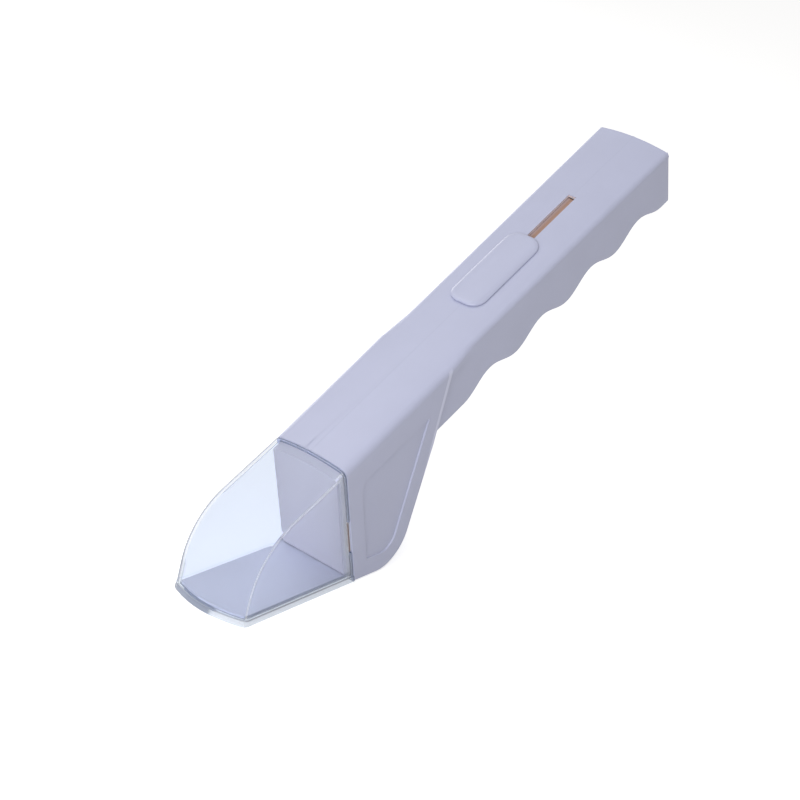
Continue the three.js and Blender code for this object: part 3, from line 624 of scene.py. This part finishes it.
def round_edges(piece):
    flat = piece.modifiers.new("flat_faces", "DECIMATE")
    flat.decimate_type = "DISSOLVE"
    flat.angle_limit = FLAT_ANGLE
    shares = piece.modifiers.new("edge_rounding", "NODES")
    shares.node_group = edge_rounding
    bevel = piece.modifiers.new("soft_edges", "BEVEL")
    bevel.width = ROUND_WIDTH
    bevel.segments = ROUND_SEGMENTS
    bevel.limit_method = "WEIGHT"
    bevel.use_clamp_overlap = False


def dress(name, material, rounded=False):
    piece = nodes[name]
    piece.data.materials.clear()
    piece.data.materials.append(material)
    weld(piece)
    if rounded:
        round_edges(piece)
    smooth(piece)


def add_piece(name, mesh, material, body):
    bmesh.ops.recalc_face_normals(mesh, faces=mesh.faces)
    data = bpy.data.meshes.new(name)
    mesh.to_mesh(data)
    mesh.free()
    data.materials.append(material)
    piece = bpy.data.objects.new(name, data)
    bpy.context.scene.collection.objects.link(piece)
    smooth(piece)
    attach(piece, body)
    return piece


def add_ring(mesh, points):
    return [mesh.verts.new(point) for point in points]


def bridge(mesh, first, second):
    count = len(first)
    for index in range(count):
        following = (index + 1) % count
        mesh.faces.new((first[index], first[following], second[following], second[index]))


def join_rings(mesh, rings):
    for lower, upper in zip(rings, rings[1:]):
        bridge(mesh, lower, upper)


# Joins the rings and closes both ends
def close_rings(mesh, rings):
    join_rings(mesh, rings)
    mesh.faces.new(rings[0])
    mesh.faces.new(rings[-1])


def on_handle(y, u, f):
    return WALL_TOP + Y_AXIS * y + HANDLE_UP * u + HANDLE_FORWARD * f


def handle_top(y):
    return CROWN * (1 - (y / HEAD_HALF_WIDTH) ** 2)


def handle_block(mesh, half_width, low, high, half_length, middle):
    corners = ((-1, -1), (1, -1), (1, 1), (-1, 1))
    rings = []
    for u in (low, high):
        points = [on_handle(a * half_width, u, b * half_length - middle) for a, b in corners]
        rings.append(add_ring(mesh, points))
    close_rings(mesh, rings)


# Fills the hairline between the shells, as their tongue and groove does
def seam_tongue():
    mesh = bmesh.new()
    source = nodes["left_shell"].data
    level = SEAM_HALF - SEAM_SLACK
    for polygon in source.polygons:
        if polygon.normal.y < -SEAM_FACING and abs(polygon.center.y - SEAM_HALF) < SEAM_SLACK:
            corners = [source.vertices[index].co for index in polygon.vertices]
            mesh.faces.new(add_ring(mesh, [(corner.x, level, corner.z) for corner in corners]))
    bmesh.ops.remove_doubles(mesh, verts=mesh.verts, dist=WELD_DISTANCE)
    grown = bmesh.ops.extrude_face_region(mesh, geom=mesh.faces[:])
    moved = [part for part in grown["geom"] if isinstance(part, bmesh.types.BMVert)]
    bmesh.ops.translate(mesh, verts=moved, vec=(0, -2 * level, 0))
    add_piece("seam_tongue", mesh, seam_plastic, "body")


# Outline of the button's pad, some way in from its edge, as (y, f) pairs; its ends are bowed
def pad_outline(inset):
    radius = PAD_CORNER - inset
    points = []
    for quarter, (side, end) in enumerate(((1, 1), (-1, 1), (-1, -1), (1, -1))):
        for step in range(CORNER_STEPS + 1):
            angle = (quarter + step / CORNER_STEPS) * math.pi / 2
            y = side * (PAD_HALF_WIDTH - PAD_CORNER) + radius * math.cos(angle)
            f = end * (PAD_HALF_LENGTH - PAD_CORNER) + radius * math.sin(angle)
            f += end * PAD_BOW * (1 - (y / PAD_HALF_WIDTH) ** 2)
            points.append((y, f))
    return points


# The pad is flat along its middle and falls towards its sides, with a soft edge all round
def pad_level(y, drop):
    beyond = max(abs(y) - PAD_FLAT, 0) / (PAD_HALF_WIDTH - PAD_FLAT)
    return CROWN + PAD_HEIGHT - PAD_FALL * beyond ** 2 - drop


# The pad's outlines from its underside to its middle, as lists of (y, u, f)
def pad_levels():
    under = [(y, handle_top(y) + PAD_GAP, f) for y, f in pad_outline(PAD_UNDERCUT)]
    side = [(y, handle_top(y) + 2 * PAD_GAP, f) for y, f in pad_outline(0)]
    levels = [under, side]
    for step in range(ROUND_STEPS + 1):
        angle = math.pi / 2 * step / ROUND_STEPS
        inset = PAD_ROUND * (1 - math.cos(angle))
        drop = PAD_ROUND_DROP * (1 - math.sin(angle))
        levels.append([(y, pad_level(y, drop), f) for y, f in pad_outline(inset)])
    slope = PAD_HALF_WIDTH - PAD_FLAT - PAD_ROUND
    for step in range(1, FALL_STEPS + 1):
        inset = PAD_ROUND + slope * step / FALL_STEPS
        levels.append([(y, pad_level(y, 0), f) for y, f in pad_outline(inset)])
    return levels


def thumb_button():
    mesh = bmesh.new()
    rings = []
    for level in pad_levels():
        points = [on_handle(y + PAD_ASIDE, u, f - PAD_MIDDLE) for y, u, f in level]
        rings.append(add_ring(mesh, points))
    close_rings(mesh, rings)
    stem_top = CROWN + PAD_GAP
    handle_block(mesh, STEM_HALF_WIDTH, STEM_FOOT, stem_top, STEM_HALF_LENGTH, STEM_MIDDLE)
    foot_top = STEM_FOOT + STEM_FOOT_HEIGHT
    handle_block(mesh, STEM_FOOT_HALF_WIDTH, STEM_FOOT, foot_top, STEM_HALF_LENGTH, STEM_MIDDLE)
    pad = add_piece("button_pad", mesh, button_plastic, "slider")
    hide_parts("thumb_button")


# The flexible sheet lies flush with the panel that it pulls
def door_sheet():
    panel_low, panel_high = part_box("trap_door")
    leaf_low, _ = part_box("door_strip_floor")
    half = panel_high[1] - SHEET_INSET
    inner = half - SHEET_CORNER
    rear = leaf_low[0]
    corner = rear + SHEET_CORNER
    front = panel_low[0] - SHEET_INSET
    outline = [(front, -half), (front, half), (corner, half)]
    outline += [(rear, inner), (rear, -inner), (corner, -half)]
    mesh = bmesh.new()
    rings = []
    for z in (panel_low[2] + SHEET_INSET, panel_high[2] - SHEET_INSET):
        rings.append(add_ring(mesh, [(x, y, z) for x, y in outline]))
    close_rings(mesh, rings)
    sheet = add_piece("door_sheet", mesh, strip_plastic, "strip")
    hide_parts("door_strip_floor")


def screw_ring(centre, radius, y):
    points = []
    for side in range(SCREW_SIDES):
        angle = 2 * math.pi * side / SCREW_SIDES
        points.append((centre.x + radius * math.cos(angle), y, centre.z + radius * math.sin(angle)))
    return points


def recess_outline(centre, reach, half_width, y):
    corners = []
    for quarter in range(4):
        turn = Matrix.Rotation(quarter * math.pi / 2, 2)
        for along, across in ((reach, -half_width), (reach, half_width), (half_width, half_width)):
            spot = turn @ Vector((along, across))
            corners.append((centre.x + spot.x, y, centre.z + spot.y))
    return corners


# A screw with a rounded head and a cross recess, its head towards the right side
def shell_screw(name):
    low, high = (Vector(corner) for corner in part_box(name))
    centre = (low + high) / 2
    radius = (high.x - low.x) / 2
    shank = SHANK_SHARE * radius
    top = low.y
    mesh = bmesh.new()
    profile = [(across * radius, top + down * SCREW_HEAD) for across, down in HEAD_PROFILE]
    profile += [(shank, top + SCREW_HEAD), (shank, high.y - shank), (POINT_SHARE * shank, high.y)]
    rings = [add_ring(mesh, screw_ring(centre, ring_radius, y)) for ring_radius, y in profile]
    join_rings(mesh, rings)
    mesh.faces.new(rings[-1])
    mouth = add_ring(mesh, recess_outline(centre, RECESS_REACH, RECESS_HALF_WIDTH, top))
    pit = recess_outline(centre, RECESS_FLOOR_REACH, RECESS_FLOOR_HALF_WIDTH, top + RECESS_DEPTH)
    floor = add_ring(mesh, pit)
    bridge(mesh, mouth, floor)
    mesh.faces.new(floor)
    border = []
    for ring in (rings[0], mouth):
        for index, vertex in enumerate(ring):
            border.append(mesh.edges.get((vertex, ring[(index + 1) % len(ring)])))
    bmesh.ops.triangle_fill(mesh, edges=border, use_beauty=True)
    screw = add_piece(f"cross_{name}", mesh, fastener_steel, "body")
    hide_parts(name)


def make_camera():
    data = bpy.data.cameras.new("camera")
    data.lens = CAMERA_LENS
    data.sensor_width = CAMERA_SENSOR
    data.clip_start = CAMERA_CLIP
    camera = bpy.data.objects.new("camera", data)
    turns = Euler([math.radians(turn) for turn in CAMERA_TURNS])
    camera.matrix_world = Matrix.LocRotScale(Vector(CAMERA_PLACE), turns, None)
    bpy.context.scene.collection.objects.link(camera)
    bpy.context.scene.camera = camera


# Rays that show the surroundings, rather than light that a dull surface gathers
def seen_rays(tree):
    path = tree.nodes.new("ShaderNodeLightPath")
    names = ("Is Camera Ray", "Is Glossy Ray", "Is Transmission Ray")
    rays = largest(tree, *[path.outputs[name] for name in names])
    return product(tree, rays, below(tree, path.outputs["Diffuse Depth"], 1))


def make_world():
    world = bpy.data.worlds.new("studio")
    world.use_nodes = True
    tree = world.node_tree
    light = tree.nodes["Background"]
    light.inputs["Color"].default_value = (*WORLD_COLOUR, 1)
    light.inputs["Strength"].default_value = WORLD_STRENGTH
    seen = tree.nodes.new("ShaderNodeBackground")
    seen.inputs["Color"].default_value = (1, 1, 1, 1)
    seen.inputs["Strength"].default_value = 1
    sky = mix_shaders(tree, seen_rays(tree), light.outputs["Background"], seen.outputs["Background"])
    link(tree, sky, tree.nodes["World Output"].inputs["Surface"])
    bpy.context.scene.world = world


def make_lamp(name, place, power, size):
    data = bpy.data.lights.new(name, "AREA")
    data.energy = power
    data.size = size
    data.color = LAMP_COLOUR
    lamp = bpy.data.objects.new(name, data)
    lamp.location = place
    lamp.rotation_euler = (-Vector(place)).to_track_quat("-Z", "Y").to_euler()
    bpy.context.scene.collection.objects.link(lamp)


# A matt floor that glows for the rays that show the surroundings, and keeps the part's shadow
def floor_material():
    material, tree, shader = new_material("floor")
    shader.inputs["Base Color"].default_value = (*FLOOR_COLOUR, 1)
    shader.inputs["Roughness"].default_value = FLOOR_ROUGHNESS
    shader.inputs["Specular IOR Level"].default_value = 0
    glow = tree.nodes.new("ShaderNodeEmission")
    camera = tree.nodes.new("ShaderNodeLightPath").outputs["Is Camera Ray"]
    strength = spread(tree, camera, FLOOR_GLOW_THROUGH, FLOOR_GLOW, 0, 1)
    link(tree, product(tree, seen_rays(tree), strength), glow.inputs["Strength"])
    both = tree.nodes.new("ShaderNodeAddShader")
    link(tree, shader.outputs["BSDF"], both.inputs[0])
    link(tree, glow.outputs["Emission"], both.inputs[1])
    link(tree, both.outputs["Shader"], tree.nodes["Material Output"].inputs["Surface"])
    return material


def make_floor():
    half = FLOOR_SIZE / 2
    mesh = bpy.data.meshes.new("floor")
    corners = [(-half, -half, 0), (half, -half, 0), (half, half, 0), (-half, half, 0)]
    mesh.from_pydata(corners, [], [(0, 1, 2, 3)])
    mesh.materials.append(floor_material())
    floor = bpy.data.objects.new("floor", mesh)
    floor.location.z = -FLOOR_DROP
    bpy.context.scene.collection.objects.link(floor)


# Modifier groups and materials
smooth_by_angle = smoothing_group()
edge_rounding = rounding_group()
shell_plastic = moulded_plastic("shell_plastic", SHELL_COLOUR, SHELL_ROUGHNESS, shell_painted_light_and_shade)
bulkhead_plastic = moulded_plastic("bulkhead_plastic", BULKHEAD_COLOUR, BULKHEAD_ROUGHNESS, bulkhead_painted_shading)
seam_plastic = moulded_plastic("seam_plastic", SEAM_COLOUR, SEAM_ROUGHNESS)
button_plastic = moulded_plastic("button_plastic", BUTTON_COLOUR, BUTTON_ROUGHNESS)
strip_plastic = moulded_plastic("strip_plastic", STRIP_COLOUR, STRIP_ROUGHNESS)
carriage_plastic = moulded_plastic("carriage_plastic", CARRIAGE_COLOUR, CARRIAGE_ROUGHNESS, carriage_painted_light)
clear = clear_plastic()
fastener_steel = steel()

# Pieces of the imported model
for name in ("left_shell", "right_shell"):
    dress(name, shell_plastic, rounded=True)
dress("front_bulkhead", bulkhead_plastic)
dress("viewing_chamber", clear)
for name in ("trap_door", "door_strip_guided", "door_strip_end"):
    dress(name, strip_plastic)
dress("slider_carriage", carriage_plastic)
for name in ("strip_rivet_left", "strip_rivet_right"):
    dress(name, fastener_steel)

# Pieces of the scene's own
seam_tongue()
thumb_button()
door_sheet()
for number in range(1, SCREW_COUNT + 1):
    shell_screw(f"shell_screw_{number}")

# Camera, light and floor
make_camera()
make_world()
make_lamp("key", KEY_PLACE, KEY_POWER, KEY_SIZE)
make_lamp("far", FAR_PLACE, FAR_POWER, FAR_SIZE)
make_lamp("fill", FILL_PLACE, FILL_POWER, FILL_SIZE)
make_floor()
bpy.context.scene.view_settings.view_transform = "Standard"
